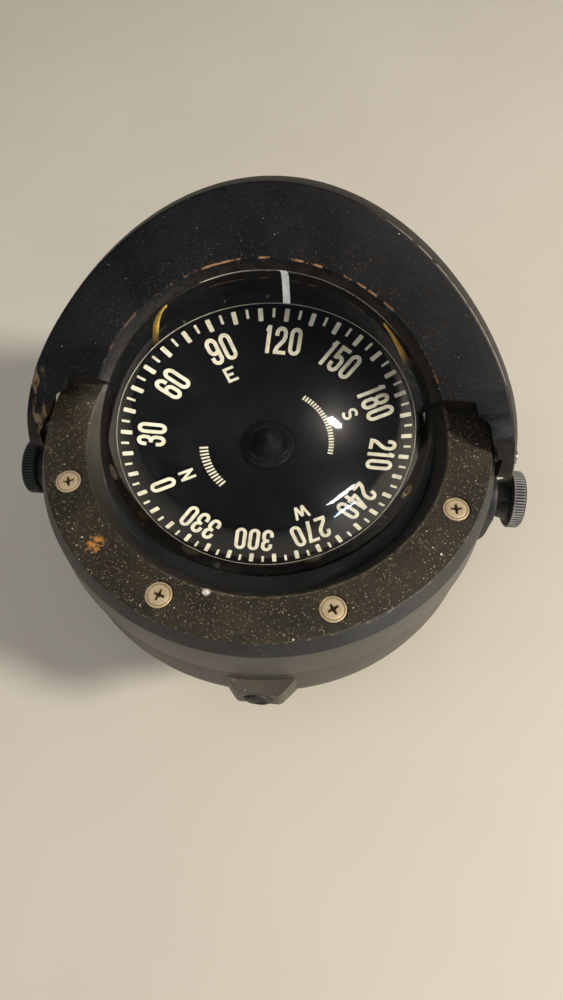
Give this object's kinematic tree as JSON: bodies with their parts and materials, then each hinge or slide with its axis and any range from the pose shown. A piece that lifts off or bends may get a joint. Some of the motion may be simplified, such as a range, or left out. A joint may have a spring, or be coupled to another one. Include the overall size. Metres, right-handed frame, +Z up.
{
  "type": "marine magnetic compass",
  "caption": "Bracket-mounted marine magnetic compass: clear fluid dome over a flat card, bolted bezel, swinging sun visor, rounded case and side clamp knobs.",
  "frame": {"origin": "centre of the underside of the bracket's foot", "axes": "+Z up, +Y forward (the way the lubber line points), +X to starboard"},
  "size_m": [0.182, 0.1576, 0.1528],
  "materials": {
    "bezel_plastic": "satin moulded plastic with a fine sparkle, dusty and worn at the inner lip",
    "case_plastic": "lightly textured moulded plastic",
    "visor_plastic": "near-black moulded plastic, speckled with dust",
    "clear_dome": "clear polished dome, fluid-filled",
    "bowl_plastic": "black moulded plastic",
    "card_paint": "black card with cream markings",
    "lubber_white": "white plastic post",
    "lubber_yellow": "plastic post yellowed with age",
    "brass": "dull brass",
    "steel": "plain steel",
    "magnet": "sintered magnet",
    "rubber": "black rubber",
    "knob_plastic": "knurled gray-black plastic",
    "bracket_plastic": "black moulded plastic"
  },
  "bodies": {
    "bracket": {"bracket": "bracket_plastic", "friction_washer_starboard": "rubber", "friction_washer_port": "rubber"},
    "case": {"bezel_ring": "bezel_plastic", "bezel_screw_1": "brass", "bezel_screw_2": "brass", "bezel_screw_3": "brass", "bezel_screw_4": "brass", "bezel_screw_5": "brass", "bezel_screw_6": "brass", "bezel_screw_7": "brass", "bezel_screw_8": "brass", "dome": "clear_dome", "dome_gasket": "rubber", "bowl": "bowl_plastic", "fill_plug": "brass", "pivot_post": "steel", "diaphragm": "rubber", "diaphragm_ring": "brass", "lubber_ring": "bowl_plastic", "lubber_post_centre": "lubber_white", "lubber_post_port": "lubber_yellow", "lubber_post_starboard": "lubber_yellow", "case_gasket": "rubber", "lower_case": "case_plastic", "aft_cap": "knob_plastic", "visor_pin_starboard": "steel", "visor_pin_port": "steel", "threaded_insert_starboard": "brass", "threaded_insert_port": "brass"},
    "visor": {"sun_visor": "visor_plastic"},
    "card_rocker": {"jewel_cup": "brass"},
    "card_swing": {"card_hub": "card_paint"},
    "card": {"card": "card_paint", "card_float": "bowl_plastic", "card_magnet_1": "magnet", "card_magnet_2": "magnet"},
    "compensator_long": {"compensator_rod_long": "brass", "compensator_magnet_long": "magnet"},
    "compensator_cross": {"compensator_rod_cross": "brass", "compensator_magnet_cross": "magnet"},
    "stud_starboard": {"knob_stud_starboard": "steel"},
    "knob_starboard": {"knob_starboard": "knob_plastic"},
    "stud_port": {"knob_stud_port": "steel"},
    "knob_port": {"knob_port": "knob_plastic"}
  },
  "joints": [
    {"name": "case_tilt", "type": "hinge", "parent": "bracket", "child": "case", "pos_m": [0, 0, 0.066], "axis": [1, 0, 0], "range_deg": [-25, 34]},
    {"name": "visor_swing", "type": "hinge", "parent": "case", "child": "visor", "pos_m": [0, 0.00207, 0.09292], "axis": [1, 0, 0], "range_deg": [-45, 25]},
    {"name": "card_pitch", "type": "hinge", "parent": "case", "child": "card_rocker", "pos_m": [0, 0.00164, 0.08734], "axis": [1, 0, 0], "range_deg": [-12, 12]},
    {"name": "card_roll", "type": "hinge", "parent": "card_rocker", "child": "card_swing", "pos_m": [0, 0.00164, 0.08734], "axis": [0, 1, 0], "range_deg": [-12, 12]},
    {"name": "card_spin", "type": "hinge", "parent": "card_swing", "child": "card", "pos_m": [0, 0.00164, 0.08734], "axis": [0, 0, 1], "continuous": true},
    {"name": "compensator_long_turn", "type": "hinge", "parent": "case", "child": "compensator_long", "pos_m": [0, -0.00146, 0.04706], "axis": [0, 0.9971, -0.0767], "continuous": true},
    {"name": "compensator_cross_turn", "type": "hinge", "parent": "case", "child": "compensator_cross", "pos_m": [0, 0.01196, 0.039], "axis": [1, 0, 0], "continuous": true},
    {"name": "stud_slide_starboard", "type": "slide", "parent": "case", "child": "stud_starboard", "axis": [1, 0, 0], "range_m": [0, 0.003]},
    {"name": "knob_turn_starboard", "type": "hinge", "parent": "stud_starboard", "child": "knob_starboard", "pos_m": [0, 0, 0.066], "axis": [1, 0, 0], "range_deg": [0, 1083]},
    {"name": "stud_slide_port", "type": "slide", "parent": "case", "child": "stud_port", "axis": [-1, 0, 0], "range_m": [0, 0.003]},
    {"name": "knob_turn_port", "type": "hinge", "parent": "stud_port", "child": "knob_port", "pos_m": [0, 0, 0.066], "axis": [-1, 0, 0], "range_deg": [0, 1083]}
  ],
  "couplings": [
    {"joint": "knob_turn_starboard", "follows": "stud_slide_starboard", "rad_per_m": 6283.2},
    {"joint": "knob_turn_port", "follows": "stud_slide_port", "rad_per_m": 6283.2}
  ]
}
